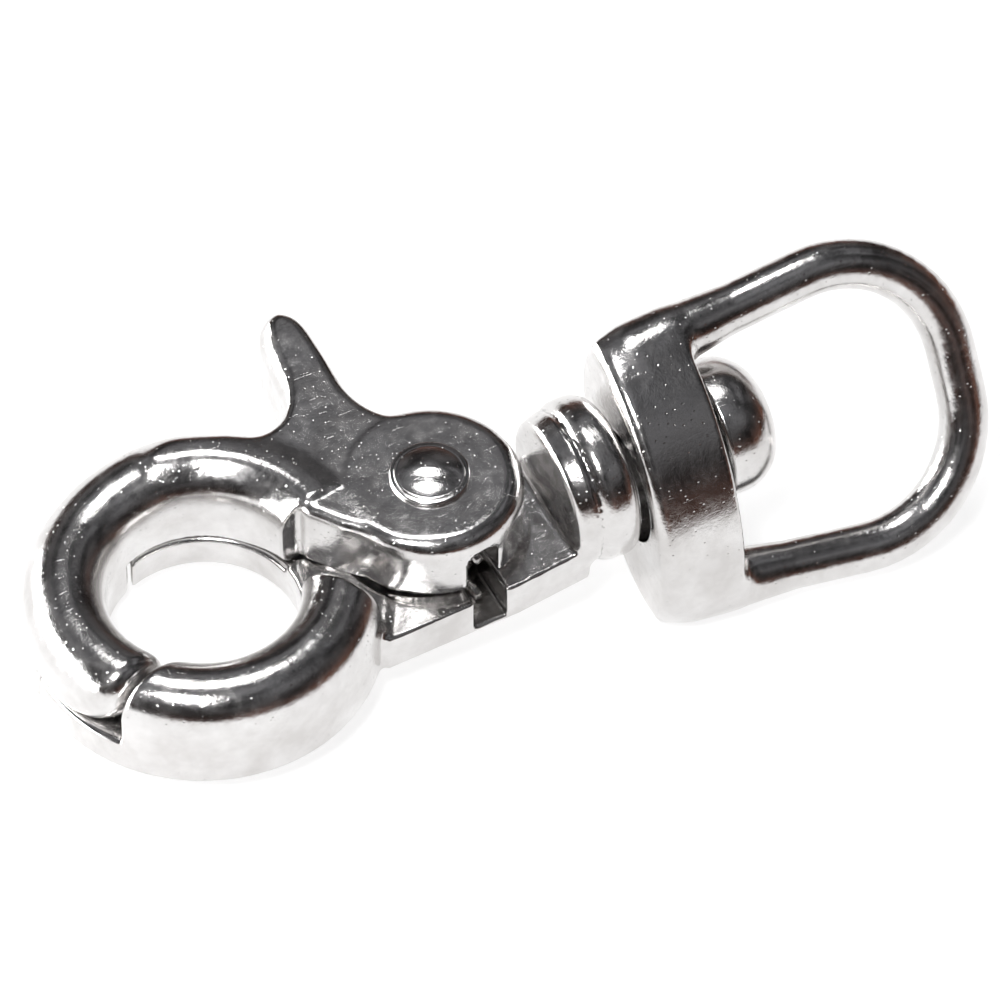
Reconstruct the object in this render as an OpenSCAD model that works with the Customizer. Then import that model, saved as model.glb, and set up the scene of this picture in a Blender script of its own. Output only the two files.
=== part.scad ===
// Swivel snap hook: a cast body and a sprung trigger that meet in a closed ring,
// with a strap eye that turns on a headed stud behind the body.
// Origin: rivet axis in the underside plane. +X runs to the strap eye, +Y to the
// thumb horn and +Z up through the thickness. Millimetres.

/* [Jaw ring] */
// Distance from the rivet to the centre of the ring
ring_reach = 16; // [14:0.5:22]
// Offset of the ring centre towards the thumb horn
ring_offset = 0.5; // [-1:0.1:1.5]
// Radius of the hole through the closed jaws
hole_r = 6.3; // [4.5:0.1:8]
// Width of the jaw bar, hole to outside
bar_w = 5.3; // [4.5:0.1:7]
// Angle where the body's jaw steps down to its tongue, at the hole
step_inner_deg = -128; // [-140:1:-110]
// Angle of the same step at the outside
step_outer_deg = -144; // [-155:1:-125]
// Angle where the tongue ends
tongue_end_deg = 178; // [170:1:190]
// Distance from the rivet to the gate, where the body's upper arc ends
gate_reach = 19.4; // [18.5:0.1:21]

/* [Thickness] */
// Underside of the body to the top of the trigger
hook_t = 8.4; // [7.5:0.1:12]
// Underside to the crown of the ring
ring_t = 7.4; // [6.5:0.1:11]
// Thickness of the body's slab
slab_t = 3.2; // [2.8:0.1:4.5]
// Thickness of the body's tongue and upper arc
tongue_t = 2.5; // [2:0.1:2.8]
// Gap between the body's faces and the trigger above them
layer_gap = 0.25; // [0.15:0.05:0.6]
// Rounding of the lower edges of the ring
foot_r = 0.8; // [0.5:0.1:2]

/* [Trigger] */
// Radius of the boss around the rivet
boss_r = 6.1; // [5.5:0.1:7.5]
// Rounding of the boss's top edge
boss_round = 1.1; // [0.5:0.1:1.5]
// Distance from the rivet to the tip of the thumb horn
horn_reach = 17; // [13:0.1:20]
// Width of the horn at its tip
horn_tip_w = 2.8; // [2:0.1:4]

/* [Body] */
// Distance from the rivet to the slab's front edge
slab_front = 7.2; // [6.8:0.1:9]
// Distance from the rivet to the wall that carries the neck
wall_x = 6.4; // [6:0.1:9]
// Width of the spring notch in slab and boss
notch_w = 2.4; // [2:0.1:3]
// Place of the spring notch along the front edge
notch_x = 0.9; // [0:0.1:2]

/* [Rivet and spring] */
// Radius of the rivet's shank
rivet_r = 1.5; // [1.2:0.05:2]
// Radius of the rivet's flange
rivet_head_r = 2.62; // [2:0.05:3.2]
// Radial running clearance around the rivet
rivet_clear = 0.05; // [0.02:0.01:0.1]
// Thickness of the spring wire
wire_d = 0.65; // [0.4:0.05:0.8]
// Mean radius of the spring coil
coil_r = 2.9; // [2.6:0.1:3.4]
// Full turns in the spring coil
coil_turns = 5; // [3:1:6]

/* [Swivel] */
// Swivel axis: offset from the rivet away from the thumb horn
axis_drop = 1.8; // [0:0.1:3]
// Swivel axis: height above the underside
axis_h = 4.4; // [4.4:1.6:6]
// Largest radius of the neck
neck_r = 5.3; // [4.6:0.1:6]
// End of the neck along the swivel axis
neck_end = 12; // [11.5:0.1:15]
// Gap between the eye and the faces on both sides of it
swivel_gap = 0.5; // [0.4:0.05:0.8]
// Radius of the stud's shank
shank_r = 2.1; // [1.8:0.1:3]
// Radial clearance of the eye on the shank, a loose swivel
shank_clear = 1.8; // [1.75:0.05:1.9]
// Radius of the stud's domed head
head_r = 4.6; // [3.8:0.1:5.2]
// Length of the stud's head beyond the eye
head_len = 4.2; // [3.5:0.1:6]

/* [Strap eye] */
// Length of the eye's hub along the swivel axis
hub_len = 5.8; // [5:0.4:7]
// Half thickness of the hub
hub_r = 5.2; // [4.6:0.6:5.8]
// Half length of the hub, across the swivel axis
hub_reach = 10.4; // [9.6:0.4:10.4]
// Radius of the bow's bar
bar_r = 1.65; // [1.65:0.2:2.25]
// Reach of each straight leg beyond the hub, along the swivel axis
leg_len = 9.3; // [6.3:1:9.3]
// Angle at which each leg spreads from the swivel axis
leg_splay = 6.5; // [4:0.5:6.5]
// Radius of the bow's two corners
bow_corner_r = 8; // [8:0.5:8.5]
// Turn of the eye about the swivel axis
eye_turn = 55; // [0:1:90]

/* [Hidden] */
$fn = 96;
e = 0.01;

ring_c = [-ring_reach, ring_offset];
bar_mid = hole_r + bar_w / 2;
ring_out = hole_r + bar_w;
crown_z = ring_t - bar_w / 2;
lever_z = slab_t + layer_gap;
side_clear = 0.25;
// Trigger's heel, where its plate passes the body's jaw.
heel_deg = 9;
heel_rim = 1.5;
heel_space = 3;
heel = [ring_c + polar(hole_r + heel_rim, 2), [8.2 - ring_reach, 0.3], [-5.6, -2.4]];

// Rivet stack, from the countersink in the underside to the pan head.
sink_r = 2.4;
sink_depth = 0.9;
flange_t = 0.35;
dome_rise = 0.75;

// Slab's corner under the trigger, and the radius the trigger clears it by.
slab_heel = [-ring_reach + bar_mid, 3.2];
slab_sweep = norm(slab_heel) + side_clear;
// Spring pocket, shared by slab and trigger.
pin_wall = 0.5;
pocket_in = rivet_r + rivet_clear + pin_wall;
pocket_out = coil_r + wire_d / 2 + 0.2;
pitch = wire_d * 1.12;
coil_low = 1.4;
coil_high = coil_low + coil_turns * pitch;
notch_in_slab = 0.6;
notch_top = 6.8;
leg_end_r = 5.3;
leg_deg = -90 + asin(notch_x / leg_end_r);

// Swivel stack along the axis.
neck_start = wall_x + 2.1;
neck_root_r = 4.4;
seat_depth = 4.5;
hub_start = neck_end + swivel_gap;
hub_end = hub_start + hub_len;
head_start = hub_end + swivel_gap;

// Bow, from the leg's root in the hub to the centre of each corner.
leg_root = hub_reach - bar_r - 0.6;
leg_run = hub_len / 2 + leg_len;
leg_h = leg_run / cos(leg_splay);
joint_r = bar_r + 0.06;
joint_in = 0.3;
corner_off = leg_root + leg_run * tan(leg_splay) - bow_corner_r * cos(leg_splay);
corner_z = hub_end + leg_len + bow_corner_r * sin(leg_splay);

// The eye hangs off centre on its loose stud, and leans about Y and Z.
eye_sag = [0, -1.15, -0.85];
eye_lean = [0, 1.5, -1.6];

function polar(r, a) = [r * cos(a), r * sin(a)];
function arc(c, r, a0, a1, n = 24) = [for (i = [0:n]) c + polar(r, a0 + (a1 - a0) * i / n)];

// Section of the jaw bar: round crown, straight walls and eased lower edges.
module bar_section() {
    translate([bar_mid, crown_z]) circle(r = bar_w / 2);
    translate([hole_r, foot_r]) square([bar_w, crown_z - foot_r]);
    translate([hole_r + foot_r, 0]) square([bar_w - 2 * foot_r, foot_r]);
    for (x = [hole_r + foot_r, ring_out - foot_r]) translate([x, foot_r]) circle(r = foot_r);
}

// The whole closed ring, from which body and trigger each keep a part.
module ring() {
    translate(ring_c) rotate([0, 0, 20]) rotate_extrude() bar_section();
}

// Plan of everything on the trigger's side of the step, with a gap at the step.
module trigger_side(gap) {
    inner = ring_c + polar(hole_r, step_inner_deg);
    outer = ring_c + polar(ring_out, step_outer_deg);
    run = (outer - inner) / norm(outer - inner);
    back = [run.y, -run.x] * gap;
    polygon([inner - run * 3 + back, outer + run * 4 + back, outer + [-9, 30], ring_c + [30, 30],
             ring_c + polar(30, heel_deg + gap * 8), ring_c + polar(3, heel_deg + gap * 8)]);
}

// The gate: the stretch of ring between the body's upper arc and its tongue.
module gate(clear) {
    difference() {
        polygon(concat([ring_c], [for (a = [60:20:160]) ring_c + polar(30, a)],
                       [ring_c + polar(30, tongue_end_deg - clear * 14)]));
        circle(r = gate_reach + clear);
    }
}

// Plan of the room the body's jaw leaves for the trigger's heel.
module heel_room() {
    polygon(concat([for (p = [heel[0] - [1, -1], heel[1], heel[2]]) p - heel_space * [0.775, 0.63]],
                   [[-2, -4], [0, 6], ring_c + polar(hole_r - 1, heel_deg)]));
}

module slab_outline() {
    polygon(concat(
        [[-ring_reach + bar_mid, -slab_front + 1.2], [-6.5, -slab_front], [3, -slab_front + 0.3],
         [wall_x + 2, -slab_front + 0.9], [wall_x + 2, 2.4]],
        arc([0, 0], boss_r - 0.6, 30, 150),
        [slab_heel]));
}

module hook_body() {
    color("#b4b5b8") difference() {
        union() {
            difference() {
                ring();
                translate([0, 0, tongue_t]) linear_extrude(ring_t) trigger_side(0);
                translate([0, 0, -1]) linear_extrude(ring_t) gate(0);
            }
            difference() {
                linear_extrude(slab_t) slab_outline();
                translate([ring_c.x, ring_c.y, -e]) cylinder(r = bar_mid, h = slab_t + 1);
            }
            swivel_axis() neck();
        }
        translate([0, 0, slab_t]) cylinder(r = boss_r + side_clear, h = hook_t);
        translate([0, 0, slab_t]) linear_extrude(hook_t) heel_room();
        rivet_bore(-e, slab_t + e);
        translate([0, 0, -e]) cylinder(r1 = sink_r, r2 = rivet_r, h = sink_depth);
        spring_pocket(coil_low - wire_d, slab_t + e);
        translate([notch_x - notch_w / 2, -slab_front - 2, notch_in_slab])
            cube([notch_w, slab_front + 2 - pocket_in, slab_t]);
        swivel_axis() cylinder_span(shank_r, neck_end - seat_depth, neck_end + 1);
        translate([0, -neck_r - 5, -neck_r]) cube([2 * neck_end, 2 * neck_r + 10, neck_r]);
    }
}

// Turns a shape drawn along +Z onto the swivel axis.
module swivel_axis() {
    translate([0, -axis_drop, axis_h]) rotate([0, 90, 0]) children();
}

// Wall behind the trigger and the round neck that carries the stud.
module neck() {
    swell = (neck_end - neck_start) / 2;
    translate([0, 0, wall_x]) cylinder(r = neck_r - 0.3, h = neck_start - wall_x);
    cylinder_span(neck_root_r, neck_start - e, neck_end);
    rotate_extrude() translate([neck_r - swell, neck_start + swell]) circle(r = swell);
    cylinder_span(neck_r - swell, neck_start, neck_end);
}

module cylinder_span(r, z0, z1) {
    translate([0, 0, z0]) cylinder(r = r, h = z1 - z0);
}

module rivet_bore(z0, z1) {
    cylinder_span(rivet_r + rivet_clear, z0, z1);
}

module spring_pocket(z0, z1) {
    difference() {
        cylinder_span(pocket_out, z0, z1);
        cylinder_span(pocket_in, z0 - 1, z1 + 1);
    }
}

module trigger_outline() {
    polygon(concat(
        heel,
        arc([0, 0], boss_r - 0.2, 203, 400, 36),
        [[0.7, 6], [-0.6, 6.9], [-1.4, 8.2], [-1.4, horn_reach - 1.4]],
        arc([-1.4 - horn_tip_w / 2, horn_reach - 1.4], horn_tip_w / 2, 0, 160, 12),
        [[-4.7, 12.6], [-5.4, 9.8], [-6.6, 8.5], [-8.3, 8.1], [-10.4, 8.8],
         ring_c + polar(bar_mid, 66)],
        arc(ring_c, hole_r + heel_rim, 60, heel_deg, 12)));
}

module trigger_lever() {
    color("#a9aaad") difference() {
        union() {
            intersection() {
                ring();
                union() {
                    translate([0, 0, tongue_t + layer_gap]) linear_extrude(ring_t)
                        trigger_side(side_clear);
                    translate([0, 0, -1]) linear_extrude(ring_t) gate(side_clear);
                }
            }
            translate([0, 0, lever_z]) linear_extrude(hook_t - lever_z) trigger_outline();
            boss();
        }
        cylinder_span(slab_sweep, tongue_t, lever_z);
        rivet_bore(0, hook_t + 1);
        spring_pocket(lever_z - e, coil_high + wire_d);
        translate([notch_x - notch_w / 2, -boss_r - 1, lever_z - e])
            cube([notch_w, boss_r + 1 - pocket_in, notch_top - lever_z]);
    }
}

module boss() {
    translate([0, 0, lever_z]) rotate_extrude() {
        square([boss_r, hook_t - lever_z - boss_round]);
        square([boss_r - boss_round, hook_t - lever_z]);
        translate([boss_r - boss_round, hook_t - lever_z - boss_round]) circle(r = boss_round);
    }
}

module pivot_rivet() {
    dome_r = (rivet_head_r * rivet_head_r + dome_rise * dome_rise) / (2 * dome_rise);
    head_z = hook_t + 0.05;
    color("#bdbec0") {
        cylinder_span(rivet_r, 0, head_z + e);
        cylinder(r1 = sink_r - 0.1, r2 = rivet_r - 0.1, h = sink_depth);
        cylinder_span(rivet_head_r, head_z, head_z + flange_t);
        translate([0, 0, head_z + flange_t]) intersection() {
            translate([0, 0, dome_rise - dome_r]) sphere(r = dome_r);
            cylinder(r = rivet_head_r - 0.4, h = dome_rise);
        }
    }
}

// Ring of points around one place on the spring's centre line.
function wire_ring(p, out, up, sides) =
    [for (k = [0:sides - 1]) p + wire_d / 2 * (cos(360 * k / sides) * out + sin(360 * k / sides) * up)];

module torsion_spring() {
    sides = 8;
    step = 15;
    spin = 360 * coil_turns;
    n = spin / step;
    z_at = function (i) coil_low + (coil_high - coil_low) * i / n;
    turn_at = function (i) leg_deg + step * i;
    foot = [polar(leg_end_r, leg_deg)];
    path = concat(
        [[foot[0].x, foot[0].y, coil_low]],
        [for (i = [0:n]) [coil_r * cos(turn_at(i)), coil_r * sin(turn_at(i)), z_at(i)]],
        [[foot[0].x, foot[0].y, coil_high]]);
    out_at = function (i) [cos(turn_at(i)), sin(turn_at(i)), 0];
    rings = concat(
        [wire_ring(path[0], [-sin(leg_deg), cos(leg_deg), 0], [0, 0, 1], sides)],
        [for (i = [0:n]) wire_ring(path[i + 1], out_at(i), [0, 0, 1], sides)],
        [wire_ring(path[n + 2], [sin(leg_deg), -cos(leg_deg), 0], [0, 0, 1], sides)]);
    count = len(rings);
    color("#8c8d90") polyhedron(
        points = [for (r = rings) each r],
        faces = concat(
            [[for (k = [0:sides - 1]) k]],
            [for (i = [0:count - 2]) for (k = [0:sides - 1])
                [i * sides + k, (i + 1) * sides + k, (i + 1) * sides + (k + 1) % sides,
                 i * sides + (k + 1) % sides]],
            [[for (k = [sides - 1:-1:0]) (count - 1) * sides + k]]));
}

module swivel_eye() {
    hub_mid = [(hub_start + hub_end) / 2, -axis_drop, axis_h];
    color("#aeafb2") translate(hub_mid + eye_sag) rotate(eye_lean) translate(-hub_mid)
        swivel_axis() rotate([0, 0, 90 + eye_turn]) difference() {
            union() {
                hub();
                bow();
            }
            cylinder_span(shank_r + shank_clear, hub_start - 2, hub_end + 2);
        }
}

// Hub: a band with a bellied outline and round ends.
module hub() {
    belly_r = (hub_reach * hub_reach + hub_r * hub_r) / (2 * hub_r) + 1.2;
    intersection() {
        translate([0, 0, hub_start]) linear_extrude(hub_len) intersection_for (s = [-1, 1])
            translate([0, s * (belly_r - hub_r)]) circle(r = belly_r);
        cylinder_span(hub_reach, hub_start, hub_end);
    }
}

// Bow: two spread legs closed by two corners and a short end bar. A ball a hair
// larger than the bar covers each joint between them.
module bow() {
    for (s = [-1, 1]) {
        translate([s * leg_root, 0, hub_end - hub_len / 2]) rotate([0, s * leg_splay, 0]) {
            cylinder(r = bar_r, h = leg_h - joint_in);
            translate([0, 0, leg_h]) sphere(r = joint_r);
        }
        translate([s * corner_off, 0, corner_z]) rotate([-90, 0, 0])
            rotate([0, 0, s > 0 ? -90 : 180 - leg_splay])
                rotate_extrude(angle = 90 + leg_splay) translate([bow_corner_r, 0]) circle(r = bar_r);
        translate([s * corner_off, 0, corner_z + bow_corner_r]) sphere(r = joint_r);
    }
    translate([-corner_off + joint_in, 0, corner_z + bow_corner_r]) rotate([0, 90, 0])
        cylinder(r = bar_r, h = 2 * (corner_off - joint_in));
}

module swivel_stud() {
    round_r = 3;
    color("#b8b9bc") swivel_axis() {
        cylinder_span(shank_r, neck_end - seat_depth, head_start + e);
        rotate_extrude() {
            translate([0, head_start]) square([head_r, head_len - round_r]);
            translate([0, head_start]) square([head_r - round_r, head_len]);
            intersection() {
                translate([head_r - round_r, head_start + head_len - round_r]) circle(r = round_r);
                translate([0, head_start]) square([head_r, head_len]);
            }
        }
    }
}

hook_body();
trigger_lever();
pivot_rivet();
torsion_spring();
swivel_eye();
swivel_stud();
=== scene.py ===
# Swivel snap hook: a polished, nickel-plated casting with a sprung trigger, a headed stud
# and a loose strap eye. Lengths are in millimetres until a mesh is made, then in metres.
import itertools
import math
import bpy
import numpy as np
from mathutils import Matrix, Vector


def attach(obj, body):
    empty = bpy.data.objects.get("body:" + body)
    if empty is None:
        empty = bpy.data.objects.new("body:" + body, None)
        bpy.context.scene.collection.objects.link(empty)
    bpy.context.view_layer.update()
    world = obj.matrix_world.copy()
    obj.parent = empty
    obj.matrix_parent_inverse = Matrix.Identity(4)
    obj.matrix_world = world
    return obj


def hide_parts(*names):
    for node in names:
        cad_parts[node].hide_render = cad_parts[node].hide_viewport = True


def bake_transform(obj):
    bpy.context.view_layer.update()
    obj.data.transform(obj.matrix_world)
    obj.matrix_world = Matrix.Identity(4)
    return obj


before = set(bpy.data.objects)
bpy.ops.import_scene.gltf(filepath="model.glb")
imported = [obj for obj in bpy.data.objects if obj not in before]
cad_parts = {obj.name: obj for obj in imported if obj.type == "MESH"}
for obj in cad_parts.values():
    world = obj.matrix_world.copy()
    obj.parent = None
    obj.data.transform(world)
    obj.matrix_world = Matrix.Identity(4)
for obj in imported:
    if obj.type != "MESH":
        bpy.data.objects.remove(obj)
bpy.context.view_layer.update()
mm = 0.001
cell = 0.21        # grid step of the castings
print("frame loaded")


# shapes are signed distances in mm, negative inside the metal
def join(a, b, blend):
    # the nearer of two shapes, with a fillet about as wide as blend where they meet
    h = np.clip(0.5 + 0.5 * (b - a) / blend, 0, 1)
    return b + (a - b) * h - blend * h * (1 - h)


def common(a, b, blend):
    # what two shapes share, with its new edge rounded
    return -join(-a, -b, blend)


def cut(a, b, blend):
    # a with b taken out of it, the new edge rounded
    return common(a, -b, blend)


def roundEdge(a, b):
    # distance to the corner in which the faces a = 0 and b = 0 meet
    return np.minimum(np.maximum(a, b), 0) + np.hypot(np.maximum(a, 0), np.maximum(b, 0))


def roundBox(u, v, halfU, halfV, radius):
    # rectangle in two coordinates, its corners rounded by radius, which may vary
    return roundEdge(np.abs(u) - halfU + radius, np.abs(v) - halfV + radius) - radius


def plate(plan, z, low, high, footRound, topRound):
    # a plan pulled up from low to high, its lower and upper edges rounded
    middle, half = (low + high) / 2, (high - low) / 2
    radius = np.where(z > middle, topRound, footRound)
    return roundEdge(plan + radius, np.abs(z - middle) - half + radius) - radius


def outline(x, y, corners):
    # distance to a closed outline: nearest edge, with the sign from counting crossings
    corners = np.asarray(corners, float)
    nearest, crossings = np.full(np.broadcast(x, y).shape, 1e9), 0
    for (ax, ay), (bx, by) in zip(corners, np.roll(corners, -1, 0)):
        ex, ey = bx - ax, by - ay
        along = np.clip(((x - ax) * ex + (y - ay) * ey) / (ex * ex + ey * ey), 0, 1)
        nearest = np.minimum(nearest, np.hypot(x - ax - along * ex, y - ay - along * ey))
        spans = (ay > y) != (by > y)
        crossings = crossings + (spans & (x < ax + (y - ay) * ex / (ey if ey else 1e-9)))
    return np.where(crossings % 2 == 1, -nearest, nearest)


def smoothLine(points, steps=6):
    # closed Catmull-Rom curve through the points
    p = np.asarray(points, float)
    t = (np.arange(steps) / steps)[None, :, None]
    a, b, c, d = (np.roll(p, s, 0)[:, None] for s in (1, 0, -1, -2))
    curve = 0.5 * (2 * b + (c - a) * t + (2 * a - 5 * b + 4 * c - d) * t ** 2
                   + (3 * b - a - 3 * c + d) * t ** 3)
    return curve.reshape(-1, 2)


def polar(centre, radius, degrees):
    a = math.radians(degrees)
    return [centre[0] + radius * math.cos(a), centre[1] + radius * math.sin(a)]


def arcPoints(centre, radius, start, end, steps):
    a = np.radians(np.linspace(start, end, steps))
    return np.stack([centre[0] + radius * np.cos(a), centre[1] + radius * np.sin(a)], 1)


def makeObject(name, points, faces, body, replaced, material):
    mesh = bpy.data.meshes.new(name)
    mesh.from_pydata((points * mm).tolist(), [], faces)
    mesh.polygons.foreach_set("use_smooth", np.ones(len(mesh.polygons), bool))
    mesh.update()
    piece = bpy.data.objects.new(name, mesh)
    bpy.context.scene.collection.objects.link(piece)
    piece.data.materials.append(material)
    if body:
        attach(piece, body)
    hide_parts(replaced)
    print(name, len(mesh.polygons), "faces")
    return piece


def skin(field, low, high):
    # net of one point a cell around the field's zero surface, each point then slid onto
    # the surface along the field's slope; one quad for each grid edge that crosses it
    axes = [np.arange(a, b + cell, cell) for a, b in zip(low, high)]
    x, y, z = np.meshgrid(*axes, indexing="ij", sparse=True)
    value = np.broadcast_to(field(x, y, z), [len(a) for a in axes])
    inside = value < 0
    cells = tuple(n - 1 for n in inside.shape)
    count = np.zeros(cells, np.int8)
    for i, j, k in itertools.product((0, 1), repeat=3):
        count += inside[i:i + cells[0], j:j + cells[1], k:k + cells[2]]
    active = np.argwhere((count > 0) & (count < 8))
    index = np.full(cells, -1)
    index[tuple(active.T)] = np.arange(len(active))

    # each point starts at the middle of its cell's crossings
    total, hits = np.zeros(active.shape), np.zeros(len(active))
    for axis in range(3):
        for shift in itertools.product((0, 1), repeat=2):
            start = active.copy()
            start[:, (axis + 1) % 3] += shift[0]
            start[:, (axis + 2) % 3] += shift[1]
            end = start.copy()
            end[:, axis] += 1
            a, b = value[tuple(start.T)], value[tuple(end.T)]
            crossed = (a < 0) != (b < 0)
            spot = start.astype(float)
            spot[:, axis] += np.where(crossed, a / np.where(crossed, a - b, 1), 0)
            total += spot * crossed[:, None]
            hits += crossed
    points = np.array([a[0] for a in axes]) + total / hits[:, None] * cell

    faces = []
    for axis in range(3):
        b, c = (axis + 1) % 3, (axis + 2) % 3
        first = np.take(inside, range(inside.shape[axis] - 1), axis)
        second = np.take(inside, range(1, inside.shape[axis]), axis)
        edges = np.argwhere(first != second)
        within = (edges[:, b] > 0) & (edges[:, c] > 0)
        edges = edges[within & (edges[:, b] < cells[b]) & (edges[:, c] < cells[c])]
        around = []
        for db, dc in ((-1, -1), (0, -1), (0, 0), (-1, 0)):
            near = edges.copy()
            near[:, b] += db
            near[:, c] += dc
            around.append(index[tuple(near.T)])
        quads = np.stack(around, 1)
        leaving = first[tuple(edges.T)]
        quads[~leaving] = quads[~leaving][:, ::-1]
        faces += quads.tolist()
    return settle(points, field), faces


def settle(points, field):
    # three Newton steps onto the surface, each shorter than half a cell
    at = lambda p: field(p[:, 0], p[:, 1], p[:, 2])
    h = 0.02
    for _ in range(3):
        slope = np.stack([(at(points + h * e) - at(points - h * e)) / (2 * h)
                          for e in np.eye(3)], 1)
        size = np.maximum((slope ** 2).sum(1), 0.2)
        step = slope * (at(points) / size)[:, None]
        length = np.linalg.norm(step, axis=1)
        points = points - step * np.minimum(1, 0.5 * cell / np.maximum(length, 1e-9))[:, None]
    return points


def lathe(profile, steps):
    # a profile of (radius, height) turned about the height axis, closed at both poles
    profile = np.asarray(profile, float)
    turn = np.linspace(0, 2 * np.pi, steps, endpoint=False)
    radius, height = profile[1:-1, :1], profile[1:-1, 1:]
    rings = np.stack([radius * np.cos(turn), radius * np.sin(turn), height + 0 * turn], 2)
    points = np.concatenate([[[0, 0, profile[0, 1]]], rings.reshape(-1, 3),
                             [[0, 0, profile[-1, 1]]]])
    i = np.arange(steps)
    j = (i + 1) % steps
    rows = np.arange(len(rings) - 1)[:, None] * steps + 1
    quads = np.stack([rows + i, rows + j, rows + steps + j, rows + steps + i], 2).reshape(-1, 4)
    last = 1 + (len(rings) - 1) * steps
    foot = np.stack([np.zeros(steps, int), j + 1, i + 1], 1)
    top = np.stack([np.full(steps, len(points) - 1), last + i, last + j], 1)
    return points, [*foot.tolist(), *quads.tolist(), *top.tolist()]


def tube(path, radius, sides):
    # a circle carried along a path, its flat ends closed
    forward = np.gradient(path, axis=0)
    forward /= np.linalg.norm(forward, axis=1)[:, None]
    across = np.cross(forward, [0, 0, 1])
    across /= np.linalg.norm(across, axis=1)[:, None]
    upward = np.cross(across, forward)
    a = np.linspace(0, 2 * np.pi, sides, endpoint=False)[None, :, None]
    rings = path[:, None] + radius * (np.cos(a) * across[:, None] + np.sin(a) * upward[:, None])
    rows, i = np.arange(len(path) - 1)[:, None] * sides, np.arange(sides)
    j = (i + 1) % sides
    quads = np.stack([rows + j, rows + i, rows + sides + i, rows + sides + j], 2).reshape(-1, 4)
    last = (len(path) - 1) * sides
    return rings.reshape(-1, 3), [i.tolist(), *quads.tolist(), (last + i[::-1]).tolist()]


def addNode(tree, kind, settings=None, **inputs):
    # a node with its settings, and inputs by name or, as _0 and so on, by number
    node = tree.nodes.new(kind)
    for key, value in (settings or {}).items():
        setattr(node, key, value)
    for key, value in inputs.items():
        socket = node.inputs[int(key[1:])] if key[1:].isdigit() else node.inputs[key]
        if isinstance(value, bpy.types.NodeSocket):
            tree.links.new(value, socket)
        else:
            socket.default_value = value
    return node


def remap(tree, value, low, high, toLow, toHigh):
    return addNode(tree, "ShaderNodeMapRange", _0=value, _1=low, _2=high, _3=toLow, _4=toHigh).outputs[0]


def noise(tree, place, scale, detail, roughness=0.5):
    return addNode(tree, "ShaderNodeTexNoise", Vector=place, Scale=scale, Detail=detail,
                   Roughness=roughness).outputs[0]


def calculate(tree, operation, a, b, c=0.0):
    return addNode(tree, "ShaderNodeMath", {"operation": operation}, _0=a, _1=b, _2=c).outputs[0]


def polishedMetal(name, look):
    # plated metal: cloudy tint, patches of dulled polish, hairline scratches in three
    # directions, fine casting grain and a sprinkle of pits
    material = bpy.data.materials.new(name)
    material.use_nodes = True
    tree = material.node_tree
    shader = tree.nodes["Principled BSDF"]
    shader.inputs["Metallic"].default_value = 1
    place = addNode(tree, "ShaderNodeTexCoord").outputs["Object"]
    clouds = noise(tree, place, look["cloudScale"], 5, 0.6)
    grain = noise(tree, place, look["grainScale"], 4, 0.65)
    rub = noise(tree, place, look["rubScale"], 6, 0.7)
    lines = 0.0
    for turn in look["scratchTurns"]:
        along = addNode(tree, "ShaderNodeMapping", Vector=place, Scale=look["scratchScale"],
                        Rotation=(0.2, 0.1, math.radians(turn)))
        streak = noise(tree, along.outputs[0], 1, 2)
        fine = remap(tree, streak, look["scratchRarity"], look["scratchRarity"] + 0.05, 0, 1)
        lines = calculate(tree, "MAXIMUM", lines, fine)
    pits = addNode(tree, "ShaderNodeTexVoronoi", Vector=place, Scale=look["pitScale"], Randomness=1)
    dots = remap(tree, pits.outputs["Distance"], 0.06, 0.16, 1, 0)

    tint = addNode(tree, "ShaderNodeMix", {"data_type": "RGBA"},
                   Factor=remap(tree, clouds, 0.35, 0.65, 0, 1),
                   _6=(*look["dark"], 1), _7=(*look["light"], 1))
    tree.links.new(tint.outputs[2], shader.inputs["Base Color"])
    dull = remap(tree, rub, 0.42, 0.68, look["shine"], look["dull"])
    scratched = calculate(tree, "MULTIPLY_ADD", lines, look["scratchDull"], dull)
    tree.links.new(scratched, shader.inputs["Roughness"])
    height = 0.0
    for layer, depth in ((grain, "grain"), (rub, "ripple"), (lines, "scratchDepth"), (dots, "pitDepth")):
        height = calculate(tree, "MULTIPLY_ADD", layer, look[depth], height)
    bump = addNode(tree, "ShaderNodeBump", Height=height, Strength=1.0, Distance=look["relief"])
    tree.links.new(bump.outputs[0], shader.inputs["Normal"])
    return material


nickelLook = dict(
    dark=(0.60, 0.585, 0.575), light=(0.74, 0.73, 0.725), shine=0.14, dull=0.26,
    cloudScale=260, rubScale=900, ripple=0.5, grainScale=2600, grain=0.35, relief=0.00004,
    scratchTurns=(20, 75, 140), scratchScale=(420, 6400, 2600), scratchRarity=0.71,
    scratchDull=0.05, scratchDepth=-0.06, pitScale=1900, pitDepth=-0.4)
springLook = dict(nickelLook, dark=(0.3, 0.29, 0.28), light=(0.5, 0.49, 0.48), shine=0.22, dull=0.4)
nickel = polishedMetal("nickelPlate", nickelLook)
rivetSteel = polishedMetal("turnedRivet", dict(nickelLook, dull=0.2, grain=0.15))
springWire = polishedMetal("springWire", springLook)
print("finishes made")


# hook body and trigger are two castings that share one ring
jaw = dict(centre=(-16, 0.5), hole=6.3, width=5.3, height=7.4, footRound=0.35, stepInner=-128,
           stepOuter=-144, gateEnd=178, gateReach=19.4, tongue=2.5, heel=9)


def fromCentre(x, y):
    return np.hypot(x - jaw["centre"][0], y - jaw["centre"][1])


def ringBar(x, y, z, rise=0):
    # round-crowned bar swept round the hole; rise lifts its crown
    across = fromCentre(x, y) - jaw["hole"] - jaw["width"] / 2
    half = (jaw["height"] + rise) / 2
    rounding = np.where(z > half, jaw["width"] / 2 - 0.02, jaw["footRound"])
    return roundBox(across, z - half, jaw["width"] / 2, half, rounding)


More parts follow.
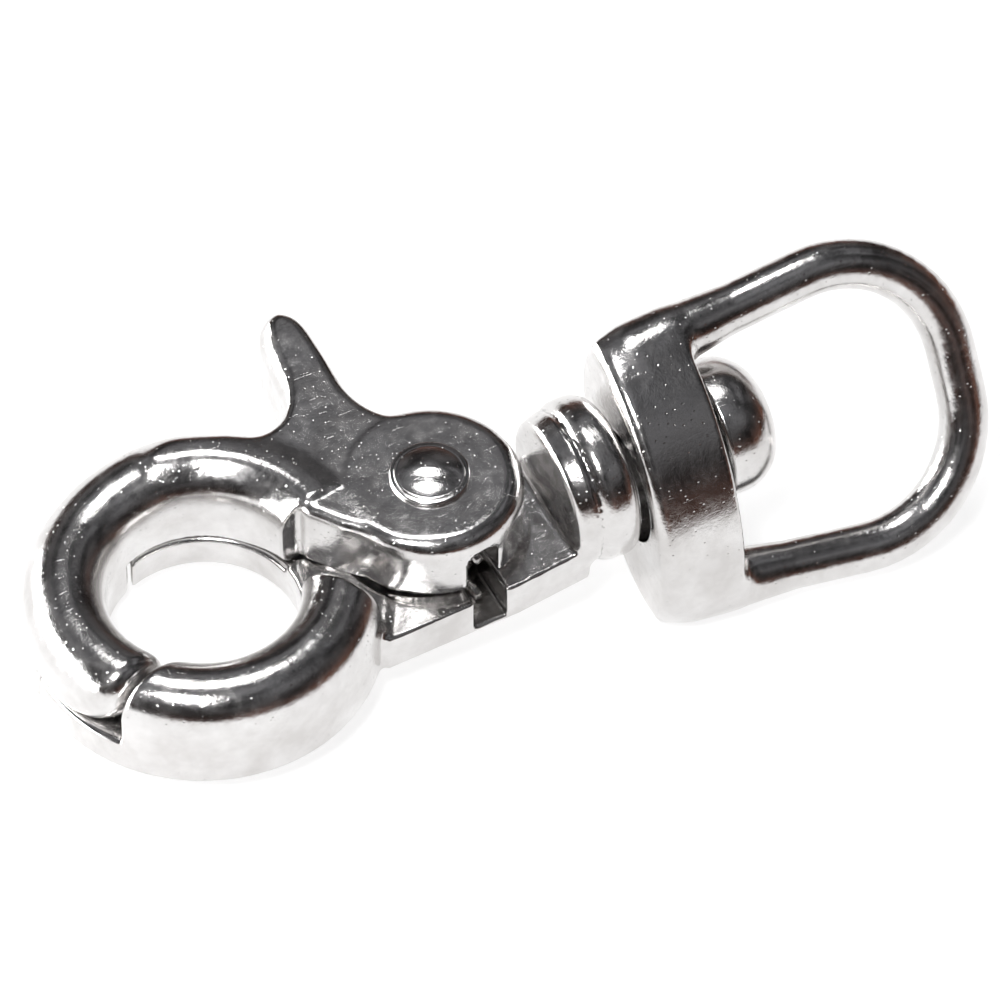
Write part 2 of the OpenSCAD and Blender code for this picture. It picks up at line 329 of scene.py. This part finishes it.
def stepLine():
    # ends and direction of the step at which the nose meets the body's jaw
    inner = np.array(polar(jaw["centre"], jaw["hole"], jaw["stepInner"]))
    outer = np.array(polar(jaw["centre"], jaw["hole"] + jaw["width"], jaw["stepOuter"]))
    return inner, outer, (outer - inner) / np.linalg.norm(outer - inner)


def triggerSide(x, y, gap):
    # plan of the ring on the trigger's side of step and heel
    inner, outer, run = stepLine()
    c = np.array(jaw["centre"])
    return gap + outline(x, y, [inner - run * 3, outer + run * 4, outer + [-9, 30], c + [30, 30],
                                polar(c, 30, jaw["heel"]), polar(c, 3, jaw["heel"])])


def gatePlan(x, y, gap):
    # wedge of the ring between the body's upper arc and its tongue
    c = jaw["centre"]
    fan = [polar(c, 30, a) for a in (60, 80, 100, 120, 140, 160, jaw["gateEnd"])]
    return gap + np.maximum(outline(x, y, [c, *fan]), jaw["gateReach"] - np.hypot(x, y))


body = dict(slab=3.2, heelPoint=(-7.8, 0.3), heelFace=(-0.775, -0.63), heelSpace=3.0,
            bossRoom=6.35, bore=1.55, sink=2.45, neckStart=6.4, axisDrop=1.8, axisHeight=4.4)
slabPlan = [(-7.05, -6.0), (-6.5, -7.2), (-2, -7.05), (3, -6.9), (8.4, -6.3), (8.4, 2.4),
            *[polar((0, 0), 5.5, a) for a in range(30, 151, 10)], (-7.05, 3.2)]
pocket = dict(inner=2.05, outer=3.43, floor=0.75, notchX=0.9, notchHalf=1.2, notchFloor=0.6)


def neck(x, y, z):
    # turned about the swivel axis: flared collar, root and barrel
    rho = np.hypot(y + body["axisDrop"], z - body["axisHeight"])
    collar = roundBox(rho - 0.35 * (x - 8.3), x - 8.3, 5.0, 0.8, 0.4)
    root = roundBox(rho, x - 10.05, 4.6, 2.05, 0.3)
    barrel = roundBox(rho, x - 10.5, 5.5, 1.6, 1.25)
    return np.minimum(join(collar, root, 0.3), barrel)


def springSpace(x, y, z, low, high, notchTop):
    # round pocket for the coil, and the notch its legs come out of
    inner, outer, floor = pocket["inner"], pocket["outer"], pocket["notchFloor"]
    coilRoom = roundBox(np.hypot(x, y) - (inner + outer) / 2, z - (low + high) / 2,
                        (outer - inner) / 2, (high - low) / 2, 0.1)
    notch = roundBox(x - pocket["notchX"], z - (floor + notchTop) / 2, pocket["notchHalf"],
                     (notchTop - floor) / 2, np.where(z > 3.3, 1.05, 0.2))
    return np.minimum(coilRoom, np.maximum(notch, y + inner))


def hookBody(x, y, z):
    # ring less the trigger's share, with slab, neck, rivet hole and spring pocket
    upper = np.maximum(triggerSide(x, y, 0), jaw["tongue"] - z)
    ring = cut(ringBar(x, y, z), upper, 0.45)
    ring = cut(ring, gatePlan(x, y, 0), 0.3)
    (heelX, heelY), (faceX, faceY) = body["heelPoint"], body["heelFace"]
    ahead = (x - heelX) * faceX + (y - heelY) * faceY       # in front of the trigger's heel
    ring = cut(ring, np.maximum(ahead - body["heelSpace"], body["slab"] - z), 0.5)
    slab = plate(outline(x, y, slabPlan), z, 0, body["slab"], 0.55, 0.12)
    slab = np.maximum(slab, jaw["hole"] + jaw["width"] / 2 - fromCentre(x, y))
    solid = join(ring, slab, 0.9)
    solid = join(solid, np.maximum(neck(x, y, z), body["neckStart"] - x), 0.7)
    rho = np.hypot(x, y)
    solid = cut(solid, np.maximum(rho - body["bossRoom"], body["slab"] - z), 0.2)
    solid = np.maximum(solid, -z)
    solid = cut(solid, rho - body["bore"], 0.1)
    solid = cut(solid, (rho - body["sink"] + z) * 0.7, 0.1)
    return cut(solid, springSpace(x, y, z, pocket["floor"], 9, 9), 0.15)


trigger = dict(floor=3.45, top=8.4, gap=0.25, boss=6.1, bossRound=1.1, bossFoot=3.8, plateRound=0.75,
               hornRound=0.7, noseRound=2.2, noseRise=3.0, climbStart=130, climbRun=60, sweep=7.9,
               pocketTop=5.7, notchTop=6.9)
triggerPlan = smoothLine([
    (-8.4, 1.2), (-7.8, 0.3), (-6.9, -0.9), (-5.7, -2.2), (-4, -4.3), (0, -5.6), (4, -4),
    (5.6, 0), (4.6, 3.1), (2.6, 4.9), (0.6, 5.7), (-0.7, 7.0), (-1.4, 9.2), (-1.35, 12.6),
    (-1.5, 15.6), (-2.5, 16.9), (-3.8, 16.7), (-4.6, 15.2), (-5.0, 12.8), (-5.35, 10.6),
    (-6.2, 8.9), (-8.2, 8.3), (-10.4, 9.3), (-13.5, 10.6), (-15.6, 9.9), (-15.2, 8.7),
    (-12.6, 7.9), (-10.4, 6.4), (-8.9, 4.4), (-8.3, 2.6)])


def upperJaw(x, y, z):
    # trigger's share of the ring: a crown that climbs to the plate, a sloped nose and the gate
    gap = trigger["gap"]
    inner, _, run = stepLine()
    angle = np.mod(np.degrees(np.arctan2(y - jaw["centre"][1], x - jaw["centre"][0])), 360)
    climb = np.clip((trigger["climbStart"] - angle) / trigger["climbRun"], 0, 1)
    bar = ringBar(x, y, z, climb * climb * (3 - 2 * climb) * (trigger["top"] - jaw["height"]))
    beyond = -(x - inner[0]) * run[1] + (y - inner[1]) * run[0]
    noseEnd = common(beyond + gap, jaw["tongue"] + gap - z, trigger["noseRise"])
    rounding = np.clip(trigger["noseRound"] + 0.35 * beyond, 0.25, trigger["noseRound"])
    nose = np.maximum(common(bar, noseEnd, rounding), triggerSide(x, y, gap))
    return np.minimum(nose, common(bar, gatePlan(x, y, gap), 0.25))


def triggerLever(x, y, z):
    # jaw, plate with the thumb horn, and boss, less the rivet hole and the spring's room
    foot, floor, top = trigger["bossFoot"], trigger["floor"], trigger["top"]
    hornSide = np.clip((y - 9) / 3, 0, 1) * np.clip((-2.6 - x) / 1.2, 0, 1)
    edge = trigger["plateRound"] + trigger["hornRound"] * hornSide
    flat = plate(outline(x, y, triggerPlan), z, floor, top, 0.15, edge)
    rho = np.hypot(x, y)
    boss = roundBox(rho, z - (foot + top) / 2, trigger["boss"], (top - foot) / 2,
                    np.where(z > 6, trigger["bossRound"], 0.15))
    solid = join(join(upperJaw(x, y, z), flat, 0.9), boss, 0.3)
    slabRoom = np.maximum(rho - trigger["sweep"], np.maximum(z - floor, 0.5 - z))
    solid = cut(solid, slabRoom, 0.1)
    solid = cut(solid, rho - body["bore"], 0.1)
    return cut(solid, springSpace(x, y, z, -1, trigger["pocketTop"], trigger["notchTop"]), 0.15)


points, faces = skin(hookBody, (-28.2, -12, -0.6), (12.8, 13, 10.4))
makeObject("castBody", points, faces, "hook", "hook_body", nickel)
points, faces = skin(triggerLever, (-28.2, -8, -0.6), (7, 17.4, 9))
makeObject("castTrigger", points, faces, "lever", "trigger_lever", nickel)


# the strap eye is worked out along its own axis, then laid onto the swivel
eye = dict(hub=(12.5, 18.3), hubReach=10.4, hubThick=5.2, bore=3.9, bar=1.65, taper=0.45,
           legRoot=8.15, legLength=9.3, splay=6.5, corner=8.0, turn=55, sag=(0, -1.15, -0.85),
           lean=(0, 1.5, -1.6))


def bowLine():
    # half of the bow's centre line: spread leg, corner arc, middle of the end bar
    splay = math.radians(eye["splay"])
    run = (eye["hub"][1] - eye["hub"][0]) / 2 + eye["legLength"]
    rootZ = (eye["hub"][0] + eye["hub"][1]) / 2
    centre = np.array([eye["legRoot"] + run * math.tan(splay) - eye["corner"] * math.cos(splay),
                       rootZ + run + eye["corner"] * math.sin(splay)])
    a = np.linspace(-splay, math.pi / 2, 16)
    arc = centre + eye["corner"] * np.stack([np.cos(a), np.sin(a)], 1)
    return np.concatenate([[[eye["legRoot"], rootZ]], arc, [[0, arc[-1, 1]]]])


def eyeShape(x, y, z):
    # hub of two flat arcs, bored through, with the round bar of the bow joined on
    line, side = bowLine(), np.abs(x)
    nearest = 1e9
    for (ax, az), (bx, bz) in zip(line[:-1], line[1:]):
        ex, ez = bx - ax, bz - az
        along = np.clip(((side - ax) * ex + (z - az) * ez) / (ex * ex + ez * ez), 0, 1)
        nearest = np.minimum(nearest, np.hypot(side - ax - along * ex, z - az - along * ez))
    low, high = eye["hub"]
    taper = eye["taper"] * np.clip((high + 4 - z) / 5, 0, 1)     # legs thicken towards the hub
    bow = np.hypot(nearest, y) - eye["bar"] - taper
    reach, thick = eye["hubReach"], eye["hubThick"]
    belly = (reach ** 2 + thick ** 2) / (2 * thick) + 1.2
    flank = np.hypot(x, np.abs(y) + belly - thick) - belly
    rho = np.hypot(x, y)
    hub = plate(common(flank, rho - reach, 3.0), z, low, high, 0.8, 0.35)
    solid = join(hub, np.maximum(bow, low + 1.2 - z), 1.3)
    return cut(solid, np.maximum(rho - eye["bore"], z - high - 3), 0.3)


def turned(axis, degrees):
    # rotation matrix about one axis
    c, s = math.cos(math.radians(degrees)), math.sin(math.radians(degrees))
    a, b = [(1, 2), (2, 0), (0, 1)][axis]
    m = np.eye(3)
    m[a, a], m[a, b], m[b, a], m[b, b] = c, -s, s, c
    return m


def ontoSwivel(points):
    # from the piece's own +Z onto the swivel axis
    return points @ turned(1, 90).T + [0, -body["axisDrop"], body["axisHeight"]]


points, faces = skin(eyeShape, (-12.6, -6, 12), (12.6, 6, 39))
hubMiddle = np.array([sum(eye["hub"]) / 2, -body["axisDrop"], body["axisHeight"]])
points = ontoSwivel(points @ turned(2, 90 + eye["turn"]).T) - hubMiddle
lean = turned(2, eye["lean"][2]) @ turned(1, eye["lean"][1])
eyePoints = points @ lean.T + hubMiddle + eye["sag"]
makeObject("castEye", eyePoints, faces, "eye", "swivel_eye", nickel)


stud = dict(shank=2.1, seat=7.6, head=4.6, headStart=18.8, headEnd=23.0, rim=0.35, nose=2.9)
shank, rim, nose = stud["shank"], stud["rim"], stud["nose"]
profile = np.concatenate([
    [[0, stud["seat"]], [1.0, stud["seat"]], [shank, stud["seat"] + 0.05], [shank, 13], [shank, 18.7]],
    arcPoints((shank + 0.2, 18.6), 0.2, 180, 90, 4),
    arcPoints((stud["head"] - rim, stud["headStart"] + rim), rim, -90, 0, 6),
    arcPoints((stud["head"] - nose, stud["headEnd"] - nose), nose, 0, 88, 22),
    [[1.0, stud["headEnd"]], [0.4, stud["headEnd"]], [0, stud["headEnd"]]]])
points, faces = lathe(profile, 96)
makeObject("headedStud", ontoSwivel(points), faces, "hook", "swivel_stud", nickel)


rivet = dict(shank=1.5, tail=2.35, flange=2.62, rim=0.16, head=8.45, dome=0.8, domeRadius=5.6,
             crease=(0.45, 0.89), creaseDepth=0.2)
shank, tail, flange, head, rim = (rivet[key] for key in ("shank", "tail", "flange", "head", "rim"))
profile = np.concatenate([
    [[0, 0.02], [1.2, 0.02], [tail - 0.1, 0.02], [tail - 0.05, 0.07], [shank, 0.88],
     [shank, 4], [shank, head]],
    arcPoints((flange - rim, head + rim), rim, -90, 90, 8),
    arcPoints((flange - 0.3, head + 0.36), 0.04, -90, -180, 3),
    arcPoints((0, head + rivet["dome"] - rivet["domeRadius"]), rivet["domeRadius"], 66.5, 89.3, 14),
    [[0, head + rivet["dome"]]]])
points, faces = lathe(profile, 96)
across = points[:, :2] @ rivet["crease"]        # hammer mark: one side of the dome is set down
mark = 1 / (1 + np.exp((across + 0.25) * 7)) * np.clip((points[:, 2] - head - 0.4) * 2, 0, 1)
points[:, 2] -= rivet["creaseDepth"] * mark * np.clip(1 + across / 2.6, 0, 1)
makeObject("rivetHead", points, faces, "hook", "pivot_rivet", rivetSteel)


spring = dict(wire=0.65, coil=2.9, turns=5, low=1.4, pitch=0.728, legEnd=5.3, notch=0.9)
legAngle = -math.pi / 2 + math.asin(spring["notch"] / spring["legEnd"])
share = np.linspace(0, 1, spring["turns"] * 32 + 1)
turn = legAngle + 2 * np.pi * spring["turns"] * share
height = spring["low"] + spring["turns"] * spring["pitch"] * share
coil = np.stack([spring["coil"] * np.cos(turn), spring["coil"] * np.sin(turn), height], 1)
legXY = spring["legEnd"] * np.array([math.cos(legAngle), math.sin(legAngle)])
path = np.concatenate([[[*legXY, height[0]]], coil, [[*legXY, height[-1]]]])
points, faces = tube(path, spring["wire"] / 2 - 0.01, 12)
coilPiece = makeObject("springCoil", points, faces, None, "torsion_spring", springWire)
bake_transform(coilPiece)


view = dict(azimuth=27, elevation=51, width=0.0641, look=(0, 0, 0.0093), rightShift=0.00452,
            upShift=-0.0021, lens=500, sensor=36)
az, el = math.radians(view["azimuth"]), math.radians(view["elevation"])
right = np.array([math.cos(az), -math.sin(az), 0])
away = np.array([math.sin(az), math.cos(az), 0])
up = away * math.sin(el) + np.array([0, 0, math.cos(el)])
toCamera = np.cross(right, up)
look = np.array(view["look"]) + right * view["rightShift"] + up * view["upShift"]
camera = bpy.data.objects.new("camera", bpy.data.cameras.new("camera"))
bpy.context.scene.collection.objects.link(camera)
camera.data.lens = view["lens"]
camera.data.sensor_width = view["sensor"]
camera.location = look + toCamera * view["lens"] / view["sensor"] * view["width"]
camera.data.clip_start, camera.data.clip_end = 0.05, 5
camera.rotation_euler = Matrix(np.stack([right, up, toCamera], 1).tolist()).to_euler()
bpy.context.scene.camera = camera


paper = dict(size=1.5, drop=0.00005, grey=0.5, glow=0.74)


def restPlane():
    # the hook rests on the far edge of its ring and on whichever point of the eye is lowest
    ringFoot = np.array([*jaw["centre"], 0]) * mm
    ringReach = (jaw["hole"] + jaw["width"] - jaw["footRound"]) * mm
    normal = np.array([0, 0, 1.0])
    for _ in range(6):
        foot = eyePoints[(eyePoints @ normal).argmin()] * mm
        lead = (foot - ringFoot) * [1, 1, 0]
        rest = ringFoot - lead / np.linalg.norm(lead) * ringReach
        slope = (foot - rest) / np.linalg.norm(foot - rest)
        normal = np.cross(slope, np.cross([0, 0, 1], slope))
        normal /= np.linalg.norm(normal)
    return (foot + rest) / 2, slope, np.cross(normal, slope), normal


rest, slope, side, normal = restPlane()
corners = [rest - normal * paper["drop"] + paper["size"] * (a * slope + b * side)
           for a, b in ((-1, -1), (1, -1), (1, 1), (-1, 1))]
mesh = bpy.data.meshes.new("floor")
mesh.from_pydata([corner.tolist() for corner in corners], [], [(0, 1, 2, 3)])
floor = bpy.data.objects.new("floor", mesh)
bpy.context.scene.collection.objects.link(floor)
palePaper = bpy.data.materials.new("palePaper")
palePaper.use_nodes = True
shader = palePaper.node_tree.nodes["Principled BSDF"]
shader.inputs["Base Color"].default_value = (paper["grey"], paper["grey"], paper["grey"], 1)
shader.inputs["Roughness"].default_value = 1
shader.inputs["Specular IOR Level"].default_value = 0
shader.inputs["Emission Color"].default_value = (1, 1, 1, 1)
shader.inputs["Emission Strength"].default_value = paper["glow"]
floor.data.materials.append(palePaper)


def softLight(name, direction, distance, width, height, power):
    light = bpy.data.lights.new(name, "AREA")
    light.shape, light.size, light.size_y = "ELLIPSE", width, height
    light.energy = power
    lamp = bpy.data.objects.new(name, light)
    bpy.context.scene.collection.objects.link(lamp)
    direction = direction / np.linalg.norm(direction)
    lamp.location = look + direction * distance
    lamp.rotation_euler = Vector(direction).to_track_quat("Z", "Y").to_euler()


softLight("cameraSide", toCamera + 0.22 * up - 0.16 * right, 0.6, 0.13, 0.13, 1.8)
softLight("leftWindow", -right + 0.1 * away + [0, 0, 0.16], 0.6, 0.9, 0.34, 14)
softLight("topFill", np.array([0.1, 0.3, 1]), 0.8, 0.25, 0.25, 1.5)


# a dark room, brown at the horizon and greyer overhead, broken up by clutter
room = dict(clutterScale=3.5, clutterLow=0.25, clutterHigh=2.2, horizon=[(0.0, (0.10, 0.045, 0.03)),
            (0.12, (0.055, 0.03, 0.024))], above=[(0.4, (0.045, 0.042, 0.042)), (0.8, (0.095, 0.095, 0.1))])
world = bpy.data.worlds.new("darkRoom")
bpy.context.scene.world = world
world.use_nodes = True
tree = world.node_tree
direction = addNode(tree, "ShaderNodeTexCoord").outputs["Generated"]
heightAbove = addNode(tree, "ShaderNodeSeparateXYZ", Vector=direction).outputs["Z"]
ramp = addNode(tree, "ShaderNodeValToRGB", _0=heightAbove)
stops = ramp.color_ramp.elements
for stop, (position, colour) in zip(stops, room["horizon"]):
    stop.position, stop.color = position, (*colour, 1)
for position, colour in room["above"]:
    stops.new(position).color = (*colour, 1)
clutter = remap(tree, noise(tree, direction, room["clutterScale"], 3), 0.4, 0.62,
                room["clutterLow"], room["clutterHigh"])
mixed = addNode(tree, "ShaderNodeMix", {"data_type": "RGBA", "blend_type": "MULTIPLY"}, Factor=1.0,
                _6=ramp.outputs[0], _7=clutter)
tree.links.new(mixed.outputs[2], tree.nodes["Background"].inputs["Color"])
tree.nodes["Background"].inputs["Strength"].default_value = 1
bpy.context.scene.view_settings.view_transform = "Standard"
print("floor, lights and camera set")
